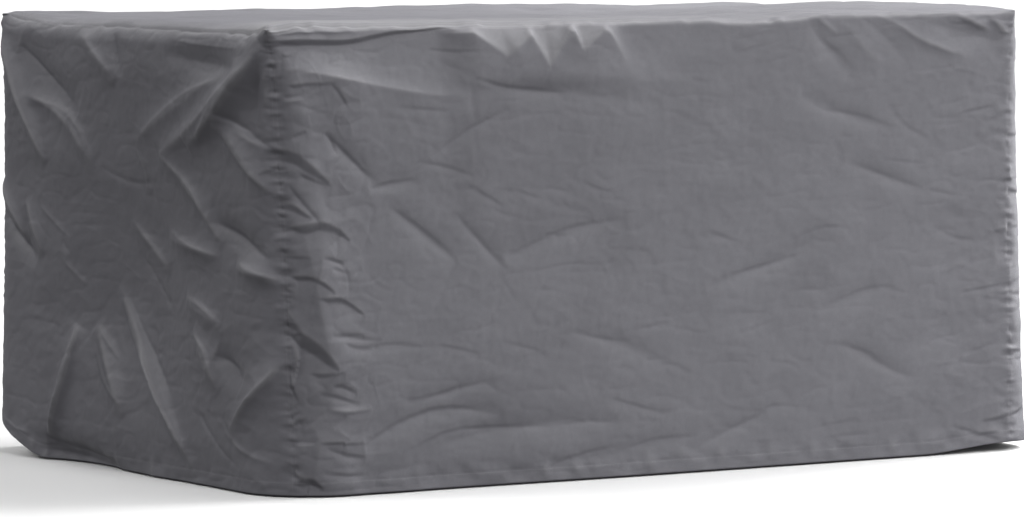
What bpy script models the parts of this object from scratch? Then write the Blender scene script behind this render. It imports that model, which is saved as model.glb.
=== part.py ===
"""Fitted cover for a set of patio furniture, hanging as it does over the furniture.

One top panel and four wall panels of thin coated cloth, sewn along the top edge and
down the four corners.  Metres, +Z up, +X along the long side, the front wall at -Y.
The origin is under the middle of the top panel, where the furniture carries it.
"""
import math
from collections import namedtuple

import bmesh
import bpy
from mathutils import Vector

# ---- driving dimensions, metres -------------------------------------------------
LENGTH = 1.80            # along X, at the top seam
DEPTH = 1.10             # along Y, at the top seam
DROP = 0.91              # from the top seam down to the hem
CLOTH = 0.002            # thickness of the sheet
SEAM_CLEARANCE = 0.0002  # kept on each side of a seam
EDGE_LEVEL = 0.0105      # height of the top seam over the sagging middle
SEAM_FADE = 0.04         # folds die out this near a corner seam
TOP_FADE = 0.03          # folds die out this near the top seam
TOP_PANEL_FADE = 0.20    # the top panel's folds die out this near its edges
LIFT_REACH = 0.24        # how far from a corner its lifted hem comes down again
FLARE_POWER = 0.8        # how early the walls lean out on the way down
RADIUS_POWER = 0.5       # how early the corners open into a round
FOLD_TAPER = 0.6         # how bluntly a fold starts and ends
CELL = 0.10              # pitch of the top panel's grid
WALL_ROWS = 22
ARC_STEPS = 12

# A corner, by its sides of X and Y.  foot_x and foot_y are how far the walls stand
# out there at the hem; radius is the round at the hem; seam_share is the part of the
# round that belongs to the wall before the corner; top_rise and hem_lift are how high
# its top and its hem lie over the level of the others.  The order of corners and walls
# is anticlockwise, seen from above.
Corner = namedtuple(
    "Corner", "side_x side_y foot_x foot_y radius seam_share top_rise hem_lift")
CORNERS = (
    Corner(-1, -1, -0.007, 0.065, 0.17, 0.5, 0.000, 0.000),
    Corner(1, -1, 0.055, 0.030, 0.10, 0.1, 0.000, 0.014),
    Corner(1, 1, 0.020, 0.020, 0.10, 0.5, -0.028, 0.012),
    Corner(-1, 1, 0.040, 0.040, 0.15, 0.5, 0.000, 0.065),
)

# A fold is a soft ridge, or a trough where rise is below zero.  side is metres from
# the wall's left seam, seen from outside; down is metres below the top seam; bow is
# how far the fold's middle lies off the straight line; width is half its breadth.
Fold = namedtuple("Fold", "from_side from_down to_side to_down bow width rise")
# A swell is an oval bulge, or a hollow where rise is below zero.
Swell = namedtuple("Swell", "side down half_side half_down rise")
# A step along a top edge: height above or below the straight seam.
Dip = namedtuple("Dip", "side height")

FRONT_FOLDS = (
    # slack that hangs from the near top corner and under the top seam
    Fold(0.00, 0.026, 0.44, 0.014, 0.000, 0.018, -0.010),
    Fold(0.00, 0.030, 0.52, 0.110, -0.014, 0.026, 0.006),
    Fold(0.46, 0.080, 1.00, 0.130, 0.000, 0.034, 0.004),
    Fold(0.48, 0.110, 1.04, 0.185, 0.000, 0.024, -0.006),
    Fold(0.54, 0.000, 0.58, 0.080, 0.000, 0.034, 0.006),
    Fold(0.66, 0.010, 0.64, 0.090, 0.000, 0.024, 0.004),
    Fold(0.71, 0.000, 0.74, 0.070, 0.000, 0.022, 0.004),
    Fold(1.29, 0.000, 1.40, 0.130, 0.012, 0.022, -0.006),
    Fold(1.36, 0.010, 1.48, 0.120, 0.000, 0.024, 0.005),
    Fold(1.41, 0.000, 1.54, 0.120, -0.012, 0.020, -0.005),
    Fold(1.46, 0.010, 1.70, 0.100, 0.000, 0.022, 0.005),
    Fold(1.58, 0.020, 1.80, 0.070, 0.000, 0.024, -0.005),
    # puckers that the near corner's seam draws into the wall
    Fold(0.01, 0.120, 0.15, 0.140, 0.000, 0.016, -0.005),
    Fold(0.02, 0.260, 0.14, 0.310, 0.000, 0.018, -0.009),
    Fold(0.02, 0.340, 0.11, 0.370, 0.000, 0.017, -0.007),
    Fold(0.01, 0.385, 0.18, 0.425, -0.010, 0.019, -0.010),
    Fold(0.03, 0.480, 0.14, 0.525, 0.000, 0.017, -0.007),
    Fold(0.08, 0.525, 0.21, 0.560, 0.000, 0.018, -0.007),
    Fold(0.00, 0.600, 0.15, 0.680, 0.000, 0.024, -0.013),
    Fold(0.01, 0.860, 0.11, 0.910, 0.000, 0.020, -0.008),
    # slanting creases over the rest of the wall
    Fold(0.10, 0.210, 0.22, 0.310, 0.000, 0.020, -0.006),
    Fold(0.20, 0.320, 0.32, 0.305, 0.000, 0.018, -0.005),
    Fold(0.35, 0.260, 0.54, 0.165, 0.000, 0.020, -0.005),
    Fold(0.24, 0.350, 0.40, 0.470, 0.000, 0.024, -0.006),
    Fold(0.40, 0.370, 0.52, 0.490, 0.000, 0.024, -0.005),
    Fold(0.52, 0.465, 0.82, 0.395, -0.008, 0.030, -0.006),
    Fold(1.02, 0.545, 1.35, 0.435, 0.006, 0.026, -0.006),
    Fold(1.26, 0.155, 1.50, 0.240, 0.008, 0.022, -0.006),
    Fold(1.38, 0.300, 1.58, 0.370, 0.000, 0.024, -0.006),
    Fold(1.30, 0.600, 1.50, 0.560, 0.000, 0.026, -0.005),
    Fold(0.68, 0.610, 0.92, 0.690, 0.000, 0.028, -0.005),
    Fold(0.26, 0.740, 0.48, 0.705, 0.000, 0.022, -0.005),
    Fold(0.16, 0.820, 0.50, 0.765, -0.030, 0.026, -0.008),
    Fold(0.27, 0.840, 0.78, 0.800, -0.020, 0.028, -0.008),
    Fold(0.60, 0.885, 0.98, 0.840, 0.000, 0.028, -0.006),
    Fold(0.96, 0.875, 1.16, 0.805, -0.008, 0.026, -0.005),
    Fold(1.33, 0.660, 1.55, 0.760, 0.000, 0.026, -0.005),
)
FRONT_SWELLS = (
    Swell(0.90, 0.45, 0.60, 0.28, -0.008),
    Swell(0.30, 0.20, 0.14, 0.10, 0.006),
    Swell(1.45, 0.78, 0.25, 0.12, 0.006),
    Swell(0.60, 0.86, 0.30, 0.05, 0.006),
    Swell(0.40, 0.94, 0.30, 0.17, -0.026),
)

LEFT_END_FOLDS = (
    # from the back top corner
    Fold(0.01, 0.030, 0.22, 0.300, 0.008, 0.024, 0.018),
    Fold(0.09, 0.060, 0.34, 0.190, 0.000, 0.050, -0.016),
    Fold(0.12, 0.165, 0.40, 0.300, -0.035, 0.022, 0.011),
    # under the top seam
    Fold(0.34, 0.010, 0.50, 0.120, 0.000, 0.030, 0.010),
    Fold(0.49, 0.010, 0.52, 0.110, 0.000, 0.022, -0.008),
    Fold(0.70, 0.055, 1.00, 0.075, 0.000, 0.038, -0.016),
    # from the near top corner: a broad ridge with a deep hollow behind it
    Fold(1.09, 0.020, 0.66, 0.260, -0.030, 0.036, 0.024),
    Fold(0.95, 0.085, 0.56, 0.240, 0.000, 0.030, 0.012),
    Fold(1.06, 0.070, 1.01, 0.200, 0.000, 0.045, -0.024),
    Fold(0.92, 0.170, 1.08, 0.270, 0.000, 0.034, 0.014),
    Fold(0.66, 0.260, 0.91, 0.430, -0.015, 0.024, 0.012),
    # the drawn-in middle
    Fold(0.00, 0.310, 0.14, 0.470, 0.000, 0.022, 0.012),
    Fold(0.02, 0.410, 0.18, 0.505, 0.000, 0.024, -0.012),
    Fold(0.14, 0.380, 0.21, 0.490, 0.000, 0.022, 0.008),
    Fold(0.52, 0.400, 0.67, 0.500, 0.000, 0.026, 0.009),
    Fold(0.67, 0.430, 0.90, 0.455, 0.000, 0.026, 0.012),
    Fold(0.86, 0.380, 1.06, 0.440, 0.000, 0.030, -0.012),
    Fold(0.96, 0.470, 1.11, 0.490, 0.000, 0.024, 0.012),
    Fold(0.74, 0.550, 0.90, 0.590, 0.000, 0.028, 0.010),
    # ridges that run down to the hem
    Fold(0.46, 0.540, 0.78, 0.880, 0.000, 0.024, 0.026),
    Fold(0.33, 0.630, 0.14, 0.870, -0.012, 0.024, 0.020),
    Fold(0.39, 0.620, 0.52, 0.800, 0.000, 0.024, 0.012),
    Fold(0.78, 0.600, 0.89, 0.720, 0.000, 0.030, 0.010),
    Fold(1.10, 0.640, 0.93, 0.800, 0.000, 0.030, 0.012),
    Fold(0.88, 0.640, 0.98, 0.700, 0.000, 0.040, -0.012),
    Fold(0.19, 0.890, 0.48, 0.910, 0.000, 0.032, -0.018),
)
LEFT_END_SWELLS = (
    Swell(0.52, 0.50, 0.30, 0.24, -0.045),
    Swell(0.58, 0.08, 0.40, 0.06, 0.006),
)

# The hidden walls hang plainly, with soft folds of the same kind.
RIGHT_END_FOLDS = (
    Fold(0.02, 0.040, 0.34, 0.300, 0.010, 0.040, 0.014),
    Fold(1.08, 0.030, 0.74, 0.280, -0.012, 0.040, 0.014),
    Fold(0.30, 0.060, 0.80, 0.090, 0.000, 0.045, -0.008),
    Fold(0.40, 0.560, 0.18, 0.900, 0.000, 0.040, 0.014),
    Fold(0.66, 0.540, 0.92, 0.900, 0.000, 0.040, 0.014),
    Fold(0.52, 0.600, 0.56, 0.920, 0.000, 0.045, -0.010),
)
RIGHT_END_SWELLS = (
    Swell(0.55, 0.48, 0.30, 0.26, -0.032),
)
BACK_FOLDS = (
    Fold(0.02, 0.040, 0.50, 0.200, 0.010, 0.040, 0.012),
    Fold(1.78, 0.040, 1.34, 0.220, -0.010, 0.040, 0.012),
    Fold(0.60, 0.080, 1.20, 0.110, 0.010, 0.045, -0.008),
    Fold(0.30, 0.420, 0.62, 0.560, 0.000, 0.040, -0.008),
    Fold(1.50, 0.400, 1.16, 0.540, 0.000, 0.040, -0.008),
    Fold(0.40, 0.600, 0.24, 0.900, 0.000, 0.045, 0.012),
    Fold(0.90, 0.560, 0.98, 0.900, 0.000, 0.050, 0.010),
    Fold(1.38, 0.600, 1.56, 0.900, 0.000, 0.045, 0.012),
)
BACK_SWELLS = (
    Swell(0.90, 0.46, 0.55, 0.28, -0.018),
)

# Folds of the top panel: side is metres from the left end, down is metres back from
# the front edge, and the rise is upwards.
TOP_FOLDS = (
    Fold(0.10, 0.300, 0.90, 0.420, 0.020, 0.110, -0.006),
    Fold(1.05, 0.100, 1.15, 0.900, 0.000, 0.110, -0.008),
    Fold(0.10, 0.850, 0.80, 0.700, 0.000, 0.110, 0.005),
)
TOP_SWELLS = (
    Swell(0.90, 0.55, 0.60, 0.38, -0.003),
    Swell(1.58, 0.34, 0.22, 0.26, 0.010),
    Swell(0.45, 0.20, 0.25, 0.16, 0.004),
)

# Where the straight top seam rises or sinks; the places are whole cells.
FRONT_DIPS = (
    Dip(0.0, 0.000), Dip(0.3, -0.002), Dip(0.5, 0.000), Dip(0.8, 0.005), Dip(1.0, 0.003),
    Dip(1.1, -0.008), Dip(1.2, -0.003), Dip(1.3, 0.005), Dip(1.6, 0.002), Dip(1.8, 0.000),
)
LEFT_END_DIPS = (
    Dip(0.0, 0.000), Dip(0.1, -0.010), Dip(0.2, -0.015), Dip(0.3, -0.010),
    Dip(0.5, -0.004), Dip(0.8, -0.002), Dip(1.1, 0.000),
)
RIGHT_END_DIPS = (
    Dip(0.0, 0.000), Dip(0.1, 0.006), Dip(0.2, 0.008), Dip(0.4, 0.007), Dip(0.5, 0.005),
    Dip(0.7, -0.005), Dip(0.9, -0.003), Dip(1.1, 0.000),
)
BACK_DIPS = (
    Dip(0.0, 0.000), Dip(0.2, -0.005), Dip(0.4, 0.001), Dip(0.8, 0.002), Dip(1.1, -0.005),
    Dip(1.3, -0.004), Dip(1.5, -0.007), Dip(1.8, 0.000),
)

# A wall runs from its own corner to the next one.  cells gives the columns in each
# cell of its top edge, more of them where the folds are small.
Wall = namedtuple("Wall", "name corner width cells folds swells dips colour")
WALLS = (
    Wall("front_panel", 0, LENGTH, (4,) * 3 + (2,) * 9 + (3,) * 6,
         FRONT_FOLDS, FRONT_SWELLS, FRONT_DIPS, (0.170, 0.168, 0.184)),
    Wall("right_end_panel", 1, DEPTH, (3,) * 2 + (1,) * 8 + (2,),
         RIGHT_END_FOLDS, RIGHT_END_SWELLS, RIGHT_END_DIPS, (0.176, 0.174, 0.190)),
    Wall("back_panel", 2, LENGTH, (2,) + (1,) * 16 + (2,),
         BACK_FOLDS, BACK_SWELLS, BACK_DIPS, (0.166, 0.164, 0.180)),
    Wall("left_end_panel", 3, DEPTH, (3,) * 11,
         LEFT_END_FOLDS, LEFT_END_SWELLS, LEFT_END_DIPS, (0.160, 0.158, 0.174)),
)
TOP_COLOUR = (0.182, 0.180, 0.196)
CLOTH_ROUGHNESS = 0.55


def smooth(value):
    """0 below 0, 1 above 1, and an even ease between."""
    value = min(max(value, 0.0), 1.0)
    return value * value * (3.0 - 2.0 * value)


def fold_height(fold, side, down):
    """How far one fold lifts the cloth at a place."""
    run_side = fold.to_side - fold.from_side
    run_down = fold.to_down - fold.from_down
    length = math.hypot(run_side, run_down)
    off_side = side - fold.from_side
    off_down = down - fold.from_down
    share = (off_side * run_side + off_down * run_down) / length ** 2
    if not 0.0 < share < 1.0:
        return 0.0
    across = (off_down * run_side - off_side * run_down) / length
    across -= fold.bow * 4.0 * share * (1.0 - share)
    ends = math.sin(math.pi * share) ** FOLD_TAPER
    return fold.rise * ends * math.exp(-(across / fold.width) ** 2)


def swell_height(swell, side, down):
    """How far one swell lifts the cloth at a place."""
    off_side = (side - swell.side) / swell.half_side
    off_down = (down - swell.down) / swell.half_down
    return swell.rise * math.exp(-off_side ** 2 - off_down ** 2)


def relief(folds, swells, side, down):
    """All folds and swells together, before they fade at the seams."""
    height = sum(fold_height(fold, side, down) for fold in folds)
    return height + sum(swell_height(swell, side, down) for swell in swells)


def dip_height(dips, side):
    """Height of the top seam, straight from one row of its table to the next."""
    for before, after in zip(dips, dips[1:]):
        if side <= after.side:
            share = (side - before.side) / (after.side - before.side)
            return before.height + share * (after.height - before.height)
    return dips[-1].height


def corner_point(corner, fall):
    """Where two walls would meet without a round; fall is 0 at the top, 1 at the hem."""
    lean = fall ** FLARE_POWER
    x = corner.side_x * (LENGTH / 2.0 + corner.foot_x * lean)
    y = corner.side_y * (DEPTH / 2.0 + corner.foot_y * lean)
    return Vector((x, y, 0.0))


def corner_arc(index, fall, first, last):
    """Points of a corner's round from one share of it to another."""
    corner = CORNERS[index % 4]
    point = corner_point(corner, fall)
    before = (corner_point(CORNERS[(index - 1) % 4], fall) - point).normalized()
    after = (corner_point(CORNERS[(index + 1) % 4], fall) - point).normalized()
    radius = corner.radius * fall ** RADIUS_POWER
    middle = point + (before + after) * radius
    arc = []
    for step in range(ARC_STEPS + 1):
        turn = (first + (last - first) * step / ARC_STEPS) * math.pi / 2.0
        spoke = after * math.cos(turn) + before * math.sin(turn)
        arc.append(middle - spoke * radius)
    return arc


def wall_path(wall, fall):
    """The wall seen from above at one height, from its own seam to the next."""
    start_share = CORNERS[wall.corner].seam_share
    end_share = CORNERS[(wall.corner + 1) % 4].seam_share
    start = corner_arc(wall.corner, fall, start_share, 1.0)
    return start + corner_arc(wall.corner + 1, fall, 0.0, end_share)


def along_path(path, share):
    """The point at a share of the path's length, and the outward direction there."""
    stretches = [(a, b - a) for a, b in zip(path, path[1:]) if (b - a).length > 0.0]
    left = share * sum(run.length for start, run in stretches)
    for start, run in stretches:
        if left <= run.length:
            break
        left -= run.length
    else:
        left = run.length
    along = run.normalized()
    return start + along * left, Vector((along.y, -along.x, 0.0))


def cell_places(cells):
    """Places of the columns along a wall's top edge."""
    places = [0.0]
    for cell, columns in enumerate(cells):
        places += [CELL * (cell + (column + 1) / columns) for column in range(columns)]
    return places


def between(start, end, share):
    """The value at a share of the way from start to end."""
    return start + (end - start) * share


def wall_rise(wall, side):
    """Height of a wall's top seam over EDGE_LEVEL."""
    start = CORNERS[wall.corner].top_rise
    end = CORNERS[(wall.corner + 1) % 4].top_rise
    return between(start, end, side / wall.width) + dip_height(wall.dips, side)


def wall_drop(wall, side):
    """From EDGE_LEVEL down to the hem, which lifts towards some corners."""
    start = CORNERS[wall.corner].hem_lift * smooth(1.0 - side / LIFT_REACH)
    end = CORNERS[(wall.corner + 1) % 4].hem_lift
    end *= smooth(1.0 - (wall.width - side) / LIFT_REACH)
    return DROP - start - end


def wall_point(wall, side, fall):
    """The middle of the wall's cloth at a place."""
    point, outward = along_path(wall_path(wall, fall), side / wall.width)
    down = fall * wall_drop(wall, side)
    near_seam = min(side, wall.width - side)
    fade = smooth(near_seam / SEAM_FADE) * smooth(down / TOP_FADE)
    point = point + outward * relief(wall.folds, wall.swells, side, down) * fade
    point.z = EDGE_LEVEL + wall_rise(wall, side) * (1.0 - fall) - down
    return point


def top_rise(side, back):
    """Height that the four seams give the top panel over EDGE_LEVEL."""
    front_left, front_right, back_right, back_left = [item.top_rise for item in CORNERS]
    along = side / LENGTH
    deep = back / DEPTH
    rise = between(between(front_left, front_right, along),
                   between(back_left, back_right, along), deep)
    rise += dip_height(FRONT_DIPS, side) * (1.0 - deep) ** 2
    rise += dip_height(RIGHT_END_DIPS, back) * along ** 2
    rise += dip_height(BACK_DIPS, LENGTH - side) * deep ** 2
    rise += dip_height(LEFT_END_DIPS, DEPTH - back) * (1.0 - along) ** 2
    return rise


def top_point(side, back):
    """The middle of the top panel's cloth, metres from its left and front edges."""
    fade = smooth(min(side, LENGTH - side) / TOP_PANEL_FADE)
    fade *= smooth(min(back, DEPTH - back) / TOP_PANEL_FADE)
    height = EDGE_LEVEL + top_rise(side, back)
    height += relief(TOP_FOLDS, TOP_SWELLS, side, back) * fade
    return Vector((side - LENGTH / 2.0, back - DEPTH / 2.0, height))


def seam_setback(seam, next_here, next_there):
    """How far an edge stays back from a seam so that two sheets clear each other."""
    here = (next_here - seam).normalized()
    there = (next_there - seam).normalized()
    half_angle = here.angle(there) / 2.0
    return CLOTH / 2.0 / math.tan(half_angle) + SEAM_CLEARANCE


def pull_back(grid, rows, columns, setbacks):
    """Move each edge of a grid of points in from its seam.

    setbacks gives, for each edge that has a seam, the distance at each of its points."""
    moved = {key: Vector(point) for key, point in grid.items()}
    for row in range(rows + 1):
        for edge, column, step in (("first_column", 0, 1), ("last_column", columns, -1)):
            run = (grid[row, column + step] - grid[row, column]).normalized()
            moved[row, column] += run * setbacks[edge][row]
    for column in range(columns + 1):
        for edge, row, step in (("first_row", 0, 1), ("last_row", rows, -1)):
            if edge in setbacks:
                run = (grid[row + step, column] - grid[row, column]).normalized()
                moved[row, column] += run * setbacks[edge][column]
    return moved


def wall_grid(wall):
    """Points of a wall's cloth, by row from the top and column from its own seam."""
    places = cell_places(wall.cells)
    grid = {}
    for row in range(WALL_ROWS + 1):
        for column, side in enumerate(places):
            grid[row, column] = wall_point(wall, side, row / WALL_ROWS)
    return grid, len(places) - 1


def top_seam_setbacks(grid, columns):
    """Setback at each column of a wall's top edge."""
    along = (grid[0, columns] - grid[0, 0]).normalized()
    inward = Vector((-along.y, along.x, 0.0))
    setbacks = []
    for column in range(columns + 1):
        seam = grid[0, column]
        place = seam + inward * CELL
        on_top = top_point(place.x + LENGTH / 2.0, place.y + DEPTH / 2.0)
        setbacks.append(seam_setback(seam, grid[1, column], on_top))
    return setbacks


def widest_nearby(places, setbacks, place):
    """The widest setback within one cell of a place, since edges run straight there."""
    reach = CELL + CLOTH
    return max(gap for at, gap in zip(places, setbacks) if abs(at - place) < reach)


def wall_setbacks(grids, index):
    """Setbacks of a wall from its two corner seams and from the top seam."""
    grid, columns = grids[index]
    before, before_columns = grids[index - 1]
    after = grids[(index + 1) % 4][0]
    setbacks = {"first_column": [], "last_column": []}
    for row in range(WALL_ROWS + 1):
        setbacks["first_column"].append(
            seam_setback(grid[row, 0], grid[row, 1], before[row, before_columns - 1]))
        setbacks["last_column"].append(
            seam_setback(grid[row, columns], grid[row, columns - 1], after[row, 1]))
    setbacks["first_row"] = top_seam_setbacks(grid, columns)
    return setbacks


def cloth_material(name, colour):
    """Matt coated cloth."""
    material = bpy.data.materials.new(name)
    material.use_nodes = True
    shader = material.node_tree.nodes["Principled BSDF"]
    shader.inputs["Base Color"].default_value = (*colour, 1.0)
    shader.inputs["Roughness"].default_value = CLOTH_ROUGHNESS
    shader.inputs["Metallic"].default_value = 0.0
    return material


def cloth_sheet(name, grid, rows, columns, first_row_on_top, colour, collection):
    """A sheet through a grid of points, given its thickness."""
    mesh = bpy.data.meshes.new(name)
    shape = bmesh.new()
    bmesh.ops.create_grid(shape, x_segments=columns, y_segments=rows, size=1.0)
    for vert in shape.verts:
        column = round((vert.co.x + 1.0) / 2.0 * columns)
        row = round((vert.co.y + 1.0) / 2.0 * rows)
        if first_row_on_top:
            row = rows - row
        vert.co = grid[row, column]
    shape.to_mesh(mesh)
    shape.free()
    mesh.shade_smooth()
    mesh.materials.append(cloth_material(name + "_cloth", colour))
    sheet = bpy.data.objects.new(name, mesh)
    collection.objects.link(sheet)
    solidify = sheet.modifiers.new("thickness", "SOLIDIFY")
    solidify.thickness = CLOTH
    solidify.offset = 0.0
    return sheet


def build_walls(grids, collection):
    for index, wall in enumerate(WALLS):
        grid, columns = grids[index]
        moved = pull_back(grid, WALL_ROWS, columns, wall_setbacks(grids, index))
        cloth_sheet(wall.name, moved, WALL_ROWS, columns, True, wall.colour, collection)


def build_top(grids, collection):
    columns = round(LENGTH / CELL)
    rows = round(DEPTH / CELL)
    grid = {}
    for row in range(rows + 1):
        for column in range(columns + 1):
            grid[row, column] = top_point(column * CELL, row * CELL)
    needs = []
    for wall, (wall_points, wall_columns) in zip(WALLS, grids):
        needs.append((cell_places(wall.cells), top_seam_setbacks(wall_points, wall_columns)))
    front, right, back, left = needs
    sides = [column * CELL for column in range(columns + 1)]
    backs = [row * CELL for row in range(rows + 1)]
    setbacks = {
        "first_row": [widest_nearby(*front, side) for side in sides],
        "last_row": [widest_nearby(*back, LENGTH - side) for side in sides],
        "first_column": [widest_nearby(*left, DEPTH - back_place) for back_place in backs],
        "last_column": [widest_nearby(*right, back_place) for back_place in backs],
    }
    moved = pull_back(grid, rows, columns, setbacks)
    cloth_sheet("top_panel", moved, rows, columns, False, TOP_COLOUR, collection)


def main():
    for item in list(bpy.data.objects):
        bpy.data.objects.remove(item, do_unlink=True)
    collection = bpy.data.collections.new("patio_furniture_cover")
    bpy.context.scene.collection.children.link(collection)
    grids = [wall_grid(wall) for wall in WALLS]
    build_top(grids, collection)
    build_walls(grids, collection)


main()
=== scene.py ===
"""The looks of a fitted patio furniture cover: five cloth panels, their seams and hem.

Metres, +Z up, in the row frame: +X along the long side, the front wall at -Y, the
origin under the middle of the top panel.  side is metres along a wall from its own
seam, seen from outside; down is metres below the top seam.
"""

import math
from collections import namedtuple

import bpy
import numpy as np
from mathutils import Matrix, Vector


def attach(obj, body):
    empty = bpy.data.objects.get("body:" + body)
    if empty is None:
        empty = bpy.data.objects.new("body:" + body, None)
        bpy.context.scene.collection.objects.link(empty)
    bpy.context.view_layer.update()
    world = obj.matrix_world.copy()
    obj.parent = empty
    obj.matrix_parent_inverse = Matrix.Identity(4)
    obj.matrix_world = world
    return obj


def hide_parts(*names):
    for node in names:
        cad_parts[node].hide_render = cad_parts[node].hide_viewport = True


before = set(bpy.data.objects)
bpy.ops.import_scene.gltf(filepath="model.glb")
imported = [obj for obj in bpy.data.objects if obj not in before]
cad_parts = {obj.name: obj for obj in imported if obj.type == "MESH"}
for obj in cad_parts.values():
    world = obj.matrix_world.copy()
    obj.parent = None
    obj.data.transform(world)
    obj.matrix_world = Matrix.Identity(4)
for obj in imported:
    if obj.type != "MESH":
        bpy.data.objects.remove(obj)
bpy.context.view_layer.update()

# ---- sizes shared with the solids ------------------------------------------------
LENGTH = 1.80
DEPTH = 1.10
DROP = 0.91
EDGE_LEVEL = 0.0105
SEAM_FADE = 0.04
TOP_FADE = 0.03
TOP_PANEL_FADE = 0.20
LIFT_REACH = 0.24
FLARE_POWER = 0.8
RADIUS_POWER = 0.5
FOLD_TAPER = 0.6
CREST = 0.82             # the cloth's folds are this much narrower than the solids'
CREST_POWER = 1.45       # and come to a sharper crest
ARC_STEPS = 40
SAME_PLACE = 1e-6

# ---- sizes of the finer work -----------------------------------------------------
HEM = 0.025              # width of the turned hem
HEM_TURN = 0.0012        # radius of the hem's fold
HEM_TURNS = ((0.35, 0.7), (1.0, 1.0), (1.65, 0.7), (2.0, 0.0))   # its rows: radii in, down
HEM_ROWS = (0.006, 0.012, 0.018, HEM - 0.001)    # rows of the turned part, up from its fold
TUCK_ROLL = 0.3          # how far a tuck's roll stands out, as a share of its depth
SEAM_INSIDE = 0.010      # seam allowance that stands inwards
SEAM_BEND = 0.002        # where it has bent inwards
STITCH_PITCH = 0.0048
STITCH_WIDTH = 0.0009
STITCH_INSET = 0.0045    # from a seam or a top edge to its row of stitches
HEM_STITCH_INSET = 0.0015
SEAM_HALF_GAP = 0.0002
CREASE_FADE = 0.022      # the small creases fade this close to the seams
SEAM_REACH = 0.035       # how far a seam's own puckers reach into the cloth
CALM_FROM = 0.13         # a wall's own calm scales its folds from here on, off the seam
CALM_OVER = 0.13
LOW_CALM_FROM = 0.45     # and its calm low down from here, below the top seam
LOW_CALM_OVER = 0.20
HEM_STEP = 0.0003        # how far the doubled hem stands out, and its stitches draw it in
EDGE_WELT = 0.0060       # middle and half width of the welt along a top edge
EDGE_WELT_HALF = 0.0035
SPARE_REACH = 0.10       # over how far the cloth that a round saves is taken up
RIDGE_SCALE = 0.0015     # a ridge this high over its neighbours gets the full lighter tone, partly wear and partly painted highlight
TOP_MEETS = 0.025        # how far the top panel eases to meet the walls


def table(kind, *rows):
    """Rows of a table as named tuples."""
    return [kind(*row) for row in rows]


def lengths(kind, *rows):
    """Rows of lengths in millimetres as named tuples in metres."""
    return [kind(*(length / 1000.0 for length in row)) for row in rows]


def with_paths(kind, *rows):
    """Creases or tucks; the rest of a row is its path, the side and down of each place in mm."""
    return [kind(*row[:3], np.reshape(row[3:], (-1, 2)) / 1000.0) for row in rows]


Corner = namedtuple(
    "Corner", "side_x side_y foot_x foot_y radius seam_share top_rise hem_lift")
CORNERS = table(
    Corner, (-1, -1, -.007, .065, .17, .5, 0, 0), (1, -1, .055, .03, .1, .1, 0, .014),
    (1, 1, .02, .02, .1, .5, -.028, .012), (-1, 1, .04, .04, .15, .5, 0, .065)
)

Fold = namedtuple("Fold", "from_side from_down to_side to_down bow width rise")
Swell = namedtuple("Swell", "side down half_side half_down rise")
Dip = namedtuple("Dip", "side height")

# The folds at the near corner and under the front's top seam are among the tucks below.
FRONT_FOLDS = lengths(
    Fold, (460, 80, 1000, 130, 0, 34, 4), (480, 114, 920, 170, 0, 24, -4), (540, 0, 580, 80, 0, 34, 6),
    (660, 10, 640, 90, 0, 24, 4), (710, 0, 740, 70, 0, 22, 4), (1290, 0, 1400, 130, 12, 22, -6),
    (1360, 10, 1480, 120, 0, 24, 5), (1410, 0, 1540, 120, -12, 20, -2), (1460, 10, 1700, 100, 0, 22, 5),
    (1580, 20, 1800, 70, 0, 24, -5), (100, 210, 220, 310, 0, 22, -5), (200, 320, 320, 305, 0, 18, -5),
    (350, 260, 540, 165, 0, 20, -5), (240, 350, 400, 470, 0, 24, -6), (400, 370, 520, 490, 0, 24, -5),
    (520, 465, 820, 395, -8, 30, -6), (1020, 545, 1350, 435, 6, 26, -6),
    (1260, 155, 1500, 240, 8, 22, -6), (1380, 300, 1580, 370, 0, 24, -6),
    (1300, 600, 1500, 560, 0, 26, -5), (680, 610, 920, 690, 0, 28, -5), (260, 740, 480, 705, 0, 22, -5),
    (160, 820, 500, 765, -30, 26, -8), (270, 840, 780, 800, -20, 28, -8), (600, 885, 980, 840, 0, 28, -6),
    (960, 875, 1160, 805, -8, 26, -5), (1330, 660, 1550, 760, 0, 26, -5)
)
FRONT_SWELLS = lengths(
    Swell, (900, 450, 600, 280, -8), (300, 200, 140, 100, 6), (1450, 780, 250, 120, 6),
    (600, 860, 300, 50, 6), (400, 940, 300, 170, -26)
)
LEFT_END_FOLDS = lengths(
    Fold, (10, 30, 220, 300, 8, 24, 18), (90, 60, 340, 190, 0, 50, -16),
    (120, 165, 400, 300, -35, 22, 11), (340, 10, 500, 120, 0, 30, 10), (490, 10, 520, 110, 0, 22, -8),
    (700, 55, 1000, 75, 0, 38, -16), (1090, 20, 660, 260, -30, 36, 24), (950, 85, 560, 240, 0, 30, 12),
    (1080, 10, 1020, 215, 0, 42, -17), (920, 186, 1090, 320, 0, 27, 13),
    (660, 260, 910, 430, -15, 24, 12), (30, 345, 140, 470, 0, 22, 10), (20, 410, 180, 505, 0, 24, -12),
    (140, 380, 210, 490, 0, 22, 8), (520, 400, 670, 500, 0, 26, 9), (670, 430, 900, 455, 0, 26, 12),
    (860, 380, 1060, 440, 0, 30, -12), (960, 470, 1110, 490, 0, 24, 12), (740, 550, 900, 590, 0, 28, 10),
    (460, 540, 780, 880, 0, 19, 13), (330, 630, 250, 870, -8, 24, 20), (390, 620, 520, 800, 0, 24, 12),
    (780, 600, 890, 720, 0, 30, 10), (1100, 640, 930, 800, 0, 30, 12), (880, 640, 980, 700, 0, 40, -12),
    (190, 890, 480, 910, 0, 32, -18)
)
LEFT_END_SWELLS = lengths(
    Swell, (520, 500, 300, 240, -45), (580, 80, 400, 60, 6), (300, 290, 120, 70, 9),
    (310, 470, 140, 120, 14), (740, 980, 250, 160, -14)
)
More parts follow.
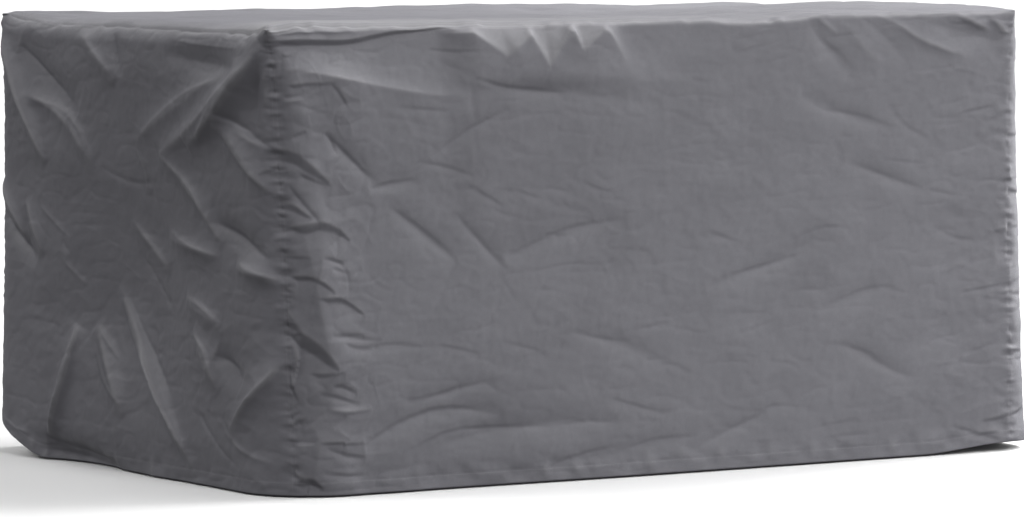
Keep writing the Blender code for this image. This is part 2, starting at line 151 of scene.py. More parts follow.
RIGHT_END_FOLDS = lengths(
    Fold, (20, 40, 340, 300, 10, 40, 14), (1080, 30, 740, 280, -12, 40, 14),
    (300, 60, 800, 90, 0, 45, -8), (400, 560, 180, 900, 0, 40, 14), (660, 540, 920, 900, 0, 40, 14),
    (520, 600, 560, 920, 0, 45, -10)
)
RIGHT_END_SWELLS = lengths(Swell, (550, 480, 300, 260, -32))
BACK_FOLDS = lengths(
    Fold, (20, 40, 500, 200, 10, 40, 12), (1780, 40, 1340, 220, -10, 40, 12),
    (600, 80, 1200, 110, 10, 45, -8), (300, 420, 620, 560, 0, 40, -8), (1500, 400, 1160, 540, 0, 40, -8),
    (400, 600, 240, 900, 0, 45, 12), (900, 560, 980, 900, 0, 50, 10), (1380, 600, 1560, 900, 0, 45, 12)
)
BACK_SWELLS = lengths(Swell, (900, 460, 550, 280, -18))
TOP_FOLDS = lengths(
    Fold, (100, 300, 900, 420, 20, 110, -6), (1050, 100, 1150, 900, 0, 110, -8),
    (100, 850, 800, 700, 0, 110, 5)
)
TOP_SWELLS = lengths(Swell, (900, 550, 600, 380, -3), (1580, 340, 220, 260, 10), (450, 200, 250, 160, 4))
FRONT_DIPS = lengths(
    Dip, (0, 8), (80, 14), (170, 12), (270, 9), (450, 8), (550, 4), (800, 5), (1030, 3), (1130, -6),
    (1220, -1), (1300, 5), (1600, 2), (1800, 0)
)
LEFT_END_DIPS = lengths(
    Dip, (0, 0), (100, -4), (200, -8), (300, -6), (500, -1), (800, 2), (1000, 6), (1100, 8)
)
RIGHT_END_DIPS = lengths(
    Dip, (0, 0), (100, 6), (200, 8), (400, 7), (500, 5), (700, -5), (900, -3), (1100, 0)
)
BACK_DIPS = lengths(
    Dip, (0, 0), (200, -5), (400, 1), (800, 2), (1100, -5), (1300, -4), (1500, -7), (1800, 0)
)

# ---- the finer creases ------------------------------------------------------------
# width and rise in millimetres; lean widens the lower side of the crease (above 0) or
# its upper side (below 0); sharp is the power of its profile.
Crease = namedtuple("Crease", "width rise lean path sharp", defaults=(1.35,))
FRONT_CREASES = with_paths(
    Crease,
    # under the top seam
    (70, 22, .57, 20, 78, 125, 99, 222, 116, 320, 132, 370, 141, 450, 138),
    (4, 2.5, 0, 10, 10, 100, 12, 200, 10), (7, -6, .5, 460, 108, 520, 124, 600, 133, 680, 142),
    (5, -3, .5, 360, 48, 420, 56, 480, 52), (5, -3, .3, 1280, 0, 1310, 50, 1360, 80, 1400, 120),
    (5, 4, .3, 1300, 0, 1360, 42), (5, -1.5, .2, 1400, 0, 1500, 60, 1540, 120),
    (6, 4, .2, 1440, 0, 1510, 20, 1570, 60, 1670, 90), (10, 7, -.3, 1655, 6, 1700, 22, 1745, 40),
    (9, 5, -.3, 1735, 6, 1765, 28, 1790, 52),
    # along the near corner
    (50, 8, -.5, 12, 357, 48, 400, 72, 560, 82, 627, 106, 700),
    (40, 9, -.5, 40, 770, 58, 800, 48, 850, 40, 890), (7, -4, .3, 15, 303, 41, 339, 79, 386),
    (5, -3, .4, 80, 452, 100, 455, 128, 464), (4, -2, .4, 98, 470, 135, 482),
    (7, -4, .4, 90, 602, 130, 604, 168, 604), (5, -2.5, .4, 121, 619, 162, 631, 198, 620),
    (6, -3.5, .4, 88, 700, 115, 702, 145, 716), (5, -2.5, .5, 120, 113, 140, 135, 155, 160),
    (4, -2, .4, 18, 135, 60, 134), (4, 2, .4, 18, 142, 60, 141),
    (5, -3, .4, 100, 210, 118, 222, 125, 250), (5, -3, .4, 30, 215, 60, 205),
    (6, -3, .4, 70, 820, 110, 835, 160, 842), (5, -2.5, .4, 60, 868, 120, 876, 170, 874),
    (6, 3, 0, 75, 742, 120, 750, 180, 745), (6, -3, .4, 60, 715, 100, 722, 150, 738),
    # slanting over the left half
    (5, -2.6, .5, 270, 160, 330, 166, 400, 172), (7, -2.6, .5, 110, 215, 150, 250, 210, 305),
    (5, -3.2, .5, 200, 322, 240, 308, 310, 304), (4, -2.8, .5, 350, 262, 430, 212, 460, 200, 540, 166),
    (5, -2.8, .5, 310, 268, 380, 278, 450, 302), (5, -2.4, .5, 430, 318, 470, 338, 520, 362),
    (5, -2.4, .5, 520, 328, 560, 332, 610, 352), (4, -1.8, .5, 620, 326, 680, 338),
    (4, -2, .5, 710, 318, 750, 336, 790, 342), (6, -3, .4, 240, 352, 300, 388, 360, 430, 400, 466),
    (5, -2.4, .4, 400, 372, 450, 420, 520, 486), (6, -2.8, .5, 520, 462, 600, 434, 680, 408, 810, 398),
    (5, -1.6, .5, 560, 500, 660, 480, 760, 486),
    # the right half
    (5, -2, .5, 1020, 430, 1100, 452), (6, -3, .5, 1020, 542, 1100, 512, 1190, 498, 1280, 480),
    (5, -2.4, .5, 1250, 452, 1330, 430, 1390, 440), (4, -1.8, .5, 1200, 345, 1250, 318, 1310, 300),
    (6, -3.2, .5, 1260, 155, 1320, 196, 1370, 202, 1430, 212, 1490, 234),
    (5, -2.8, .5, 1480, 176, 1520, 228, 1590, 262), (4, -2, .4, 1355, 262, 1372, 305),
    (5, -2.4, .5, 1380, 304, 1470, 330, 1570, 362), (4, -1.8, .5, 1470, 300, 1580, 312),
    (5, -2.4, .5, 1670, 214, 1710, 206, 1760, 198), (4, -1.6, .5, 1250, 556, 1330, 562),
    (5, -2.2, .5, 1320, 594, 1430, 560, 1500, 562), (4, -2, .5, 1670, 582, 1790, 568),
    (4, -1.6, .4, 1600, 440, 1660, 470, 1710, 474),
    # lower down
    (5, -2.2, .5, 130, 608, 210, 614), (5, -2.4, .5, 160, 634, 230, 620, 310, 632),
    (5, -2, .5, 340, 628, 450, 652), (4, -1.8, .5, 500, 628, 600, 652),
    (5, -2.8, .5, 250, 736, 330, 730, 430, 708, 480, 712),
    (6, -3.6, .5, 160, 818, 240, 775, 360, 748, 490, 772),
    (5, -3, .5, 260, 836, 360, 798, 460, 796, 620, 802), (5, -2.4, .5, 680, 618, 760, 638, 820, 642),
    (4, -1.6, .5, 820, 622, 920, 608), (4, -1.6, .5, 850, 682, 910, 680),
    (5, -2.4, .5, 760, 752, 810, 768, 900, 792), (4, -1.8, .5, 620, 804, 700, 796, 780, 802),
    (5, -2.4, .5, 800, 856, 880, 840, 960, 840), (5, -2.6, .5, 600, 884, 690, 860, 780, 850),
    (5, -2.8, .5, 960, 872, 1030, 842, 1140, 808, 1170, 784, 1250, 798),
    (4, -1.6, .5, 1080, 642, 1200, 610), (5, -2.2, .5, 1320, 668, 1420, 690, 1460, 722, 1540, 752),
    (4, -1.8, .5, 1270, 842, 1390, 828), (4, -1.6, .5, 1300, 862, 1430, 858),
    (5, -2.4, .5, 1640, 856, 1770, 892),
    # where it lay folded in its bag
    (3, .8, 0, 925, 20, 918, 630), (3, .7, 0, 1020, 60, 1018, 600), (3, .7, 0, 1120, 50, 1122, 420),
    (3, -1.2, 0, 952, 800, 950, 895)
)
FRONT_CREASES[0] = FRONT_CREASES[0]._replace(sharp=1.0)   # the broad bulge comes to an edge
LEFT_END_CREASES = with_paths(
    Crease, (5, 4, 0, 12, 40, 60, 120, 150, 215, 215, 295), (5, -3, 0, 90, 55, 200, 115, 330, 180),
    (5, 3, 0, 150, 168, 270, 180, 350, 220, 395, 285), (5, -3, 0, 300, 205, 330, 250),
    (7, 3.5, 0, 365, 20, 430, 60, 490, 105), (4, -3, 0, 485, 18, 500, 60, 510, 110),
    (4, 2, 0, 720, 22, 900, 30, 1000, 32), (7, 3, -.2, 1075, 28, 990, 95, 900, 165, 790, 225),
    (6, 3.5, .2, 930, 100, 840, 118, 760, 145, 660, 190, 580, 232),
    (5, 3, 0, 930, 150, 860, 215, 840, 230), (7, -5, -.4, 925, 165, 1010, 200, 1100, 238),
    (5, 4, 0, 920, 196, 990, 254, 1085, 320), (24, -14, 0, 1075, 28, 990, 95, 900, 165, 790, 225),
    (40, 28, -.4, 1080, 30, 1020, 92, 950, 158, 870, 208, 790, 240),
    (5, 3, .2, 660, 262, 700, 275, 800, 322, 840, 375, 905, 425), (6, 4, 0, 30, 345, 80, 395, 130, 455),
    (6, -4.5, 0, 20, 408, 90, 460, 170, 495), (5, 3, 0, 140, 385, 200, 485),
    (5, 2.5, 0, 190, 388, 310, 452), (5, -3, 0, 280, 455, 300, 480), (6, 3, 0, 280, 495, 360, 545),
    (6, 3.5, .2, 530, 405, 590, 440, 670, 492), (6, 4, .3, 680, 415, 780, 440, 890, 452),
    (7, -4, 0, 880, 390, 980, 410, 1080, 455), (7, 4.5, .3, 970, 460, 1040, 475, 1098, 492),
    (6, 3.5, .2, 740, 542, 820, 555, 895, 585), (6, -3.5, 0, 540, 465, 610, 520, 690, 585),
    (7, 7, 0, 480, 565, 525, 632, 590, 685, 665, 755, 725, 812, 765, 860),
    (6, -4, 0, 500, 560, 560, 630, 640, 690, 700, 750),
    (6, 5.5, 0, 330, 645, 318, 730, 292, 785, 268, 832, 243, 864),
    (5, 3, 0, 390, 665, 440, 740, 515, 778), (5, 3, 0, 400, 625, 480, 690),
    (5, 3, 0, 780, 612, 840, 640, 875, 705), (6, 4, 0, 1095, 648, 1000, 735, 940, 785),
    (6, -3.5, 0, 870, 650, 940, 665, 990, 700), (60, -34, 0, 225, 915, 340, 935, 520, 955, 620, 965),
    (6, -4, 0, 260, 872, 340, 885, 470, 900), (4, 2, 0, 70, 842, 130, 860, 190, 862),
    (5, 2.5, 0, 560, 250, 600, 300, 590, 340), (5, -2.5, 0, 420, 300, 520, 330, 640, 320),
    (5, 2.5, 0, 880, 770, 960, 830, 1060, 850), (5, -2.5, 0, 800, 760, 880, 830, 960, 870)
)

# A tuck, where the cloth hangs over itself: a low roll along its path and a shaded step
# under it, thick and deep in millimetres, full from the share starts of its path on.
Tuck = namedtuple("Tuck", "thick deep starts path")
FRONT_TUCKS = with_paths(
    Tuck,
    # under the top seam
    (14, 11, 0, 0, 20, 80, 26, 160, 27.5, 200, 24.5, 240, 16, 300, 8, 420, 4), (4, 3, 0, 0, 4, 80, 4.5),
    # along the near corner
    (5, 3, .3, 22, 50, 48, 56), (4, 3, 0, 0, 82, 18, 83), (9, 5, .2, 24, 112, 60, 110, 125, 113),
    (24, 13, 0, 0, 232, 41, 245, 63, 268, 107, 305), (8, 5, .3, 38, 282, 60, 290, 85, 303, 111, 309),
    (16, 10, 0, 0, 336, 28, 342, 62, 372), (24, 14, .35, 0, 388, 40, 384, 80, 378, 121, 392, 148, 418),
    (7, 4, 0, 0, 441, 28, 443, 55, 447), (11, 8, .2, 8, 482, 50, 482, 78, 496, 102, 518),
    (8, 5, 0, 0, 503, 18, 512), (13, 7, .25, 60, 528, 108, 524, 140, 538, 174, 564),
    (6, 4, 0, 0, 527, 14, 533), (34, 18, .15, 0, 600, 25, 590, 50, 604, 79, 632, 106, 668),
    (24, 12, 0, 0, 545, 10, 560, 34, 596), (11, 6, .4, 36, 672, 76, 674, 118, 672),
    (12, 7, 0, 0, 668, 6, 690, 18, 728), (4, 3, 0, 0, 738, 14, 736), (4, 3, 0, 0, 752, 14, 748),
    (5, 4, 0, 0, 770, 14, 762, 32, 758), (22, 14, 0, 0, 860, 12, 876, 40, 874, 62, 898),
    # along the right corner
    (6, 3, 0, 1800, 40, 1785, 46, 1770, 40), (7, 4, 0, 1800, 256, 1782, 262),
    (14, 7, 0, 1800, 366, 1790, 380, 1774, 392), (16, 8, .25, 1802, 446, 1785, 452, 1762, 454),
    (5, 3, 0, 1800, 500, 1778, 497), (6, 3, 0, 1800, 580, 1772, 588),
    (10, 5, .2, 1792, 838, 1760, 842, 1720, 850), (8, 4, .2, 1765, 870, 1735, 872, 1700, 878)
)
RIGHT_END_TUCKS = with_paths(
    Tuck, (6, 3, 0, 0, 100, 40, 106), (7, 4, 0, 0, 254, 50, 262), (9, 5, 0, 0, 366, 60, 384),
    (7, 4, 0, 0, 450, 50, 446), (6, 3, 0, 0, 582, 50, 590), (7, 4, 0, 0, 700, 60, 712),
    (8, 5, 0, 0, 836, 60, 826)
)
LEFT_END_TUCKS = with_paths(Tuck, (8, 5, .2, 1100, 262, 1085, 272, 1055, 285))

# Slack that bulges out under the top seam.  Each flap is a facet that slopes out from the
# seam, from left to right there, down to a tip at its depth.
Flap = namedtuple("Flap", "left right tip depth")
FRONT_FLAPS = lengths(Flap, (440, 632, 540, 60), (590, 706, 640, 84), (700, 800, 722, 56))
SLACK_RISE = 0.016
SLACK_FROM = 0.38        # where it starts and ends along the wall, and over how far
SLACK_TO = 1.02
SLACK_EASES = (0.10, 0.32)
SLACK_SOFT = 0.16        # how softly the facets end, as a share of their depth
SLACK_EDGE = 0.016       # height of the slope between the flaps
SLACK_PLAIN = 0.78       # from here on, past the flaps, its slope is taller by SLACK_TALLER
SLACK_TALLER = 0.10
SLACK_PAINTED_TO = 0.84     # as far as here the facets carry the painted highlight, with a low step below them
SLACK_STEP = 0.25        # how far that step goes in, as a share of the rise
SLACK_STEP_DOWN = 0.105
SLACK_HANG = 0.12        # from here down it falls back to the wall, over SLACK_FALL
SLACK_FALL = 0.40
SLACK_HIGHLIGHT = 0.50        # how much lighter the painted highlight makes the facets

# Where a corner seam is drawn in, below the top seam, how far and over what reach.
Pucker = namedtuple("Pucker", "down draw reach")
NEAR_PUCKERS = lengths(
    Pucker, (60, 1.5, 8), (120, 2.5, 10), (158, 1.5, 8), (250, 4, 12), (290, 3, 9), (338, 4, 11),
    (388, 5, 12), (446, 2.5, 9), (478, 4, 11), (530, 3, 11), (600, 6, 15), (668, 3, 11), (730, 3, 12),
    (800, 2.5, 12), (866, 3.5, 12)
)
RIGHT_PUCKERS = lengths(
    Pucker, (100, 1, 14), (256, 2, 10), (370, 3, 12), (450, 3.5, 12), (500, 2, 10), (584, 2.5, 12),
    (700, 1.5, 14), (790, 1.5, 14), (838, 2, 12)
)
PLAIN_PUCKERS = lengths(
    Pucker, (90, 1, 14), (210, 1.5, 16), (330, 1.2, 14), (440, 1.8, 16), (560, 1.2, 14), (690, 1.5, 15),
    (800, 1.2, 14)
)
PUCKERS = (NEAR_PUCKERS, RIGHT_PUCKERS, PLAIN_PUCKERS, PLAIN_PUCKERS)

# A run of columns or rows at one pitch, up to a place.
Run = namedtuple("Run", "upto pitch")
Wall = namedtuple(
    "Wall", "name corner width runs folds swells dips creases tucks flaps calm low_calm crumple seed")
WALLS = table(
    Wall,
    ("front_panel", 0, LENGTH,
     table(Run, (.012, .002), (.2, .0028), (.84, .005), (1.788, .0076), (1.8, .002)),
     FRONT_FOLDS, FRONT_SWELLS, FRONT_DIPS, FRONT_CREASES, FRONT_TUCKS, FRONT_FLAPS,
     .52, .52, 240, 11),
    ("right_end_panel", 1, DEPTH,
     table(Run, (.012, .002), (.1, .004), (1.088, .0065), (1.1, .002)),
     RIGHT_END_FOLDS, RIGHT_END_SWELLS, RIGHT_END_DIPS, (), RIGHT_END_TUCKS, (), 1, 1, 130, 12),
    ("back_panel", 2, LENGTH, table(Run, (.012, .002), (1.788, .007), (1.8, .002)),
     BACK_FOLDS, BACK_SWELLS, BACK_DIPS, (), (), (), .8, .8, 170, 13),
    ("left_end_panel", 3, DEPTH, table(Run, (.012, .002), (1.088, .0044), (1.1, .002)),
     LEFT_END_FOLDS, LEFT_END_SWELLS, LEFT_END_DIPS, LEFT_END_CREASES, LEFT_END_TUCKS, (),
     .84, 1.15, 80, 14),
)
ROW_RUNS = table(Run, (.012, .0017), (.05, .0024), (DROP - HEM - .006, .0034), (DROP, .0026))
TOP_PITCH = 0.0062
TOP_HIGHLIGHT = (0.10, 0.52)  # painted highlight on the top at its left and its right, 0 to 1, lighter towards the lit right
# and along the top edge of each wall, from its start to its end
EDGE_HIGHLIGHT = ((1.00, 0.42), (0.10, 0.30), (0.30, 0.20), (0.20, 0.30))
HIGHLIGHT_REACH = 0.16        # how far back the front edge's painted highlight reaches over the top
CORNER_ROUNDS = (0.010, 0.008, 0.010, 0.028)   # radius of the soft top edge at its corners
EDGE_ROUNDS = (0.012, 0.010, 0.014, 0.044)     # and along each wall, front first
QUARTER = math.pi / 4.0
ARC_SPARE = 1.0 - QUARTER                      # cloth that a round saves, each side
# how far each corner seam stands out as an edge, front left first
SEAM_EDGES = (-0.0010, 0.0000, 0.0010, 0.0010)
TICK_SHARES = (1.0, 0.2, 0.6, 0.6)             # depth of the short tucks at each of them
SEAM_WELTS = (0.0000, 0.0000, 0.0006, 0.0006)  # height of the welts along each of them
EDGE_WELTS = (0.0000, 0.0004, 0.0006, 0.0000)  # and along the top edge of each wall


def places(runs):
    """Places of the columns or rows that the runs give, from 0."""
    found = [0.0]
    for run in runs:
        start = found[-1]
        count = max(1, round((run.upto - start) / run.pitch))
        found += [start + (run.upto - start) * (step + 1) / count for step in range(count)]
    return np.array(found)


def between(start, end, share):
    """The value at a share of the way from start to end."""
    return start + (end - start) * share


def smooth(value):
    """0 below 0, 1 above 1, and an even ease between."""
    value = np.clip(value, 0.0, 1.0)
    return value * value * (3.0 - 2.0 * value)


def hump(value, middle, half):
    """1 at the middle, and a soft fall to 0 on both sides."""
    return np.exp(-((value - middle) / half) ** 2)


def fold_height(fold, side, down):
    """How far one fold lifts the cloth."""
    run_side = fold.to_side - fold.from_side
    run_down = fold.to_down - fold.from_down
    length = math.hypot(run_side, run_down)
    off_side = side - fold.from_side
    off_down = down - fold.from_down
    share = (off_side * run_side + off_down * run_down) / length ** 2
    inside = np.clip(share, 0.0, 1.0)
    across = (off_down * run_side - off_side * run_down) / length
    across = across - fold.bow * 4.0 * inside * (1.0 - inside)
    ends = np.clip(np.sin(math.pi * inside), 0.0, 1.0) ** FOLD_TAPER
    return fold.rise * ends * np.exp(-np.abs(across / (CREST * fold.width)) ** CREST_POWER)


def swell_height(swell, side, down):
    """How far one swell lifts the cloth."""
    off_side = (side - swell.side) / swell.half_side
    off_down = (down - swell.down) / swell.half_down
    return swell.rise * np.exp(-off_side ** 2 - off_down ** 2)


def relief(folds, swells, side, down):
    """All of the solids' folds and swells together."""
    height = sum(fold_height(fold, side, down) for fold in folds)
    return height + sum(swell_height(swell, side, down) for swell in swells)


def rounded(points):
    """The path with its corners cut twice, so that it bends softly."""
    path = np.array(points)
    for _ in range(2):
        cuts = np.stack([between(path[:-1], path[1:], 0.25), between(path[:-1], path[1:], 0.75)],
                        axis=1).reshape(-1, 2)
        path = np.concatenate([path[:1], cuts[1:-1], path[-1:]])
    return path


def along_path(points, reach, side, down):
    """Which places lie near a path, how far below it, and at which share of it."""
    path = rounded(points)
    low = path.min(axis=0) - reach
    high = path.max(axis=0) + reach
    near = (side > low[0]) & (side < high[0]) & (down > low[1]) & (down < high[1])
    point_side = side[near]
    point_down = down[near]
    runs = np.diff(path, axis=0)
    lengths = np.hypot(runs[:, 0], runs[:, 1])
    best = np.full(point_side.shape, 1e9)
    share = np.zeros_like(best)
    signed = np.zeros_like(best)
    walked = 0.0
    for start, run, length in zip(path[:-1], runs, lengths):
        off_side = point_side - start[0]
        off_down = point_down - start[1]
        along = np.clip((off_side * run[0] + off_down * run[1]) / length ** 2, 0.0, 1.0)
        gap = np.hypot(off_side - along * run[0], off_down - along * run[1])
        facing = 1.0 if run[0] >= 0.0 else -1.0
        cross = facing * (off_down * run[0] - off_side * run[1])
        closer = gap < best
        best = np.where(closer, gap, best)
        signed = np.where(closer, np.sign(cross) * gap, signed)
        share = np.where(closer, (walked + along * length) / lengths.sum(), share)
        walked += length
    return near, signed, share


def add_crease(height, crease, side, down):
    """Add one crease to height, with side and down given at each point."""
    width = crease.width / 1000.0
    reach = 4.0 * width * (1.0 + abs(crease.lean))
    near, signed, share = along_path(crease.path, reach, side, down)
    lean = np.where(signed > 0.0, 1.0 + crease.lean, 1.0 - crease.lean)
    ends = np.clip(np.sin(math.pi * share), 0.0, 1.0) ** 0.6
    fall_off = np.exp(-(np.abs(signed) / (width * lean)) ** crease.sharp)
    height[near] += crease.rise / 1000.0 * ends * fall_off


def add_tuck(height, tuck, side, down):
    """Add one tuck: a low roll, the step under it and the slope back out."""
    thick = tuck.thick / 1000.0
    back = 1.6 * thick + 0.012
    near, signed, share = along_path(tuck.path, 4.0 * back, side, down)
    ends = np.sqrt(np.clip(1.0 - share, 0.0, 1.0))
    if tuck.starts > 0.0:
        ends = ends * smooth(share / tuck.starts)
    deep = tuck.deep / 1000.0 * ends
    step = thick * np.maximum(ends, 0.2)
    above = TUCK_ROLL * np.exp(np.minimum(signed, 0.0) / (0.8 * thick + 0.004))
    inward = np.clip(signed / step, 0.0, 1.0)
    out_again = np.exp(-np.maximum(signed - step, 0.0) / back)
    shape = np.where(signed < step, above - inward, (TUCK_ROLL - 1.0) * out_again)
    height[near] += deep * shape


def slack(flaps, side, down):
    """Height of the slack under the top seam, and 1 on its sloping facets, where the painted highlight
    goes.
    """
    reach = SLACK_EDGE + SLACK_TALLER * smooth((side - SLACK_PLAIN) / 0.08)
    for flap in flaps:
        share = np.minimum((side - flap.left) / (flap.tip - flap.left),
                           (flap.right - side) / (flap.right - flap.tip))
        reach = np.maximum(reach, flap.depth * np.clip(share, 0.0, 1.0))
    lies = smooth((side - SLACK_FROM) / SLACK_EASES[0]) * smooth((SLACK_TO - side) / SLACK_EASES[1])
    share = down / reach
    inside = np.clip(0.5 + 0.5 * (1.0 - share) / SLACK_SOFT, 0.0, 1.0)
    slope = between(1.0, share, inside) - SLACK_SOFT * inside * (1.0 - inside)
    left = SLACK_PAINTED_TO - side
    step = SLACK_STEP * smooth(left / 0.20) * smooth((down - SLACK_STEP_DOWN) / 0.035)
    falls = (1.0 - step) * (1.0 - smooth((down - SLACK_HANG) / SLACK_FALL))
    return SLACK_RISE * lies * slope * falls, lies * smooth(inside * 1.5) * smooth(left / 0.06)


def lattice_noise(seed, side, down, scale_side, scale_down):
    """Smooth random heights of about 1, with features of the given sizes."""
    rng = np.random.default_rng(seed)
    across = int(2.2 / scale_side) + 4
    along = int(1.3 / scale_down) + 4
    table = rng.standard_normal((along, across))
    at_side = np.clip(side / scale_side + 1.0, 0.0, across - 1.001)
    at_down = np.clip(down / scale_down + 1.0, 0.0, along - 1.001)
    column = at_side.astype(int)
    row = at_down.astype(int)
    ease_side = smooth(at_side - column)
    ease_down = smooth(at_down - row)
    upper = table[row, column] * (1 - ease_side) + table[row, column + 1] * ease_side
    lower = table[row + 1, column] * (1 - ease_side) + table[row + 1, column + 1] * ease_side
    return upper * (1 - ease_down) + lower * ease_down


def crumple(height, wall, side, down):
    """Small creases by chance, as cloth that was packed keeps them."""
    rng = np.random.default_rng(wall.seed)
    for _ in range(wall.crumple):
        middle = np.array((rng.uniform(0.02, wall.width - 0.02), rng.uniform(0.03, DROP - 0.05)))
        turn = math.radians(np.clip(rng.normal(0.0, 30.0), -60.0, 60.0))
        half = rng.uniform(0.010, 0.050)
        bend = rng.normal(0.0, 0.25) * half
        run = np.array((math.cos(turn), math.sin(turn)))
        off = np.array((-run[1], run[0])) * bend
        path = (tuple(middle - run * half), tuple(middle + off), tuple(middle + run * half))
        rise = rng.choice((-1.0, -1.0, 0.7)) * rng.uniform(0.4, 1.4)
        width = rng.uniform(3.0, 5.5)
        lean = rng.uniform(-0.2, 0.6)
        add_crease(height, Crease(width, rise, lean, path), side, down)
    waves = lattice_noise(wall.seed + 100, side + 0.4 * down, down, 0.090, 0.055)
    height += 0.0008 * waves
    ridges = np.abs(lattice_noise(wall.seed + 200, side + 0.5 * down, down, 0.060, 0.034))
    height -= 0.0010 * np.exp(-ridges * 4.0)
    ridges = np.abs(lattice_noise(wall.seed + 210, side - 0.3 * down, down, 0.042, 0.050))
    height += 0.0007 * np.exp(-ridges * 5.0)
    height += 0.00030 * lattice_noise(wall.seed + 300, side, down + 0.3 * side, 0.018, 0.014)


def add_seam_ticks(height, wall, side, down):
    """Short tucks by chance where the corner seams draw the cloth in."""
    rng = np.random.default_rng(wall.seed + 800)
    for edge, inward in ((0.0, 1.0), (wall.width, -1.0)):
        level = 0.045
        while level < DROP - 0.03:
            reach = rng.uniform(0.008, 0.024)
            fall = rng.normal(0.0, 0.25) * reach
            path = ((edge, level), (edge + inward * reach, level + fall))
            deep = rng.uniform(1.2, 2.8) * TICK_SHARES[(wall.corner + (edge > 0.0)) % 4]
            add_tuck(height, Tuck(rng.uniform(3.0, 5.5), deep, 0.0, path), side, down)
            level += rng.uniform(0.012, 0.036)


def dip_height(dips, side):
    """Height of the top seam along it, eased from one row of its table to the next."""
    height = np.zeros_like(side)
    for before, after in zip(dips, dips[1:]):
        share = smooth((side - before.side) / (after.side - before.side))
        height = height + (after.height - before.height) * share
    return height + dips[0].height


def corner_point(corner, fall):
    """Where two walls would meet without a round; fall is 0 at the top, 1 at the hem."""
    lean = fall ** FLARE_POWER
    return np.array((corner.side_x * (LENGTH / 2.0 + corner.foot_x * lean),
                     corner.side_y * (DEPTH / 2.0 + corner.foot_y * lean)))


def corner_arc(index, fall, first, last):
    """Points of a corner's round from one share of it to another."""
    corner = CORNERS[index % 4]
    point = corner_point(corner, fall)
    before = corner_point(CORNERS[index - 1], fall) - point
    after = corner_point(CORNERS[(index + 1) % 4], fall) - point
    before /= np.linalg.norm(before)
    after /= np.linalg.norm(after)
    radius = corner.radius * fall ** RADIUS_POWER
    turn = (first + (last - first) * np.arange(ARC_STEPS + 1) / ARC_STEPS) * math.pi / 2.0
    around = after * np.cos(turn)[:, None] + before * np.sin(turn)[:, None]
    return point + (before + after) * radius - around * radius


def wall_line(wall, fall, sides):
    """Points and outward directions along a wall at one height."""
    end = (wall.corner + 1) % 4
    path = np.concatenate([corner_arc(wall.corner, fall, CORNERS[wall.corner].seam_share, 1.0),
                           corner_arc(end, fall, 0.0, CORNERS[end].seam_share)])
    moved = np.linalg.norm(np.diff(path, axis=0), axis=1) > SAME_PLACE
    path = path[np.concatenate(([True], moved))]
    along = np.diff(path, axis=0)
    steps = np.linalg.norm(along, axis=1)
    walked = np.concatenate(([0.0], np.cumsum(steps)))
    wanted = sides / wall.width * walked[-1]
    points = np.stack([np.interp(wanted, walked, part) for part in path.T], axis=1)
    at_middle = (walked[:-1] + walked[1:]) / 2.0
    run = np.stack([np.interp(wanted, at_middle, part) for part in (along / steps[:, None]).T],
                   axis=1)
    run /= np.linalg.norm(run, axis=1)[:, None]
    return points, np.stack([run[:, 1], -run[:, 0]], axis=1)


def wall_rise(wall, side):
    """Height of a wall's top seam over EDGE_LEVEL."""
    start = CORNERS[wall.corner].top_rise
    end = CORNERS[(wall.corner + 1) % 4].top_rise
    return between(start, end, side / wall.width) + dip_height(wall.dips, side)


def wall_drop(wall, side):
    """From EDGE_LEVEL down to the hem, which lifts towards some corners."""
    start = CORNERS[wall.corner].hem_lift * smooth(1.0 - side / LIFT_REACH)
    end = CORNERS[(wall.corner + 1) % 4].hem_lift
    end = end * smooth(1.0 - (wall.width - side) / LIFT_REACH)
    return DROP - start - end


def pucker_depth(puckers, down, seed):
    """How far a corner seam is drawn in at each height."""
    depth = np.zeros_like(down)
    for pucker in puckers:
        depth += pucker.draw * hump(down, pucker.down, pucker.reach)
    return depth + 0.0007 * lattice_noise(seed, down * 0.0, down, 1.0, 0.011)


def top_edge_wave(wall, side):
    """Small ripples that the top seam's stitching makes, upwards."""
    return 0.0011 * lattice_noise(wall.seed + 400, side, side * 0.0, 0.022, 1.0)


def edge_round(index, side, width):
    """Radius of the soft top edge along a wall, smaller at its corners."""
    near = np.minimum(side, width - side)
    corner = np.where(side < width / 2.0, CORNER_ROUNDS[index], CORNER_ROUNDS[(index + 1) % 4])
    return between(corner, EDGE_ROUNDS[index], smooth(near / 0.07))


def round_over(index, along, width, gap):
    """How far a wall's soft top edge has dropped at a gap from it, and how far it has come in."""
    radius = edge_round(index, along, width)
    turn = np.clip(QUARTER - gap / radius, 0.0, QUARTER)
    spare = ARC_SPARE * radius * (1.0 - smooth((gap - QUARTER * radius) / SPARE_REACH))
    reach = np.where(turn > 0.0, radius * (1.0 - np.sin(turn)), gap + spare)
    return radius * (1.0 - np.cos(turn)), reach


ROWS = places(ROW_RUNS)
# below is metres below the hem's upper edge; facets is 1 where the slack's facets get the painted
# highlight
Shape = namedtuple("Shape", "sides side down below point outward height facets")


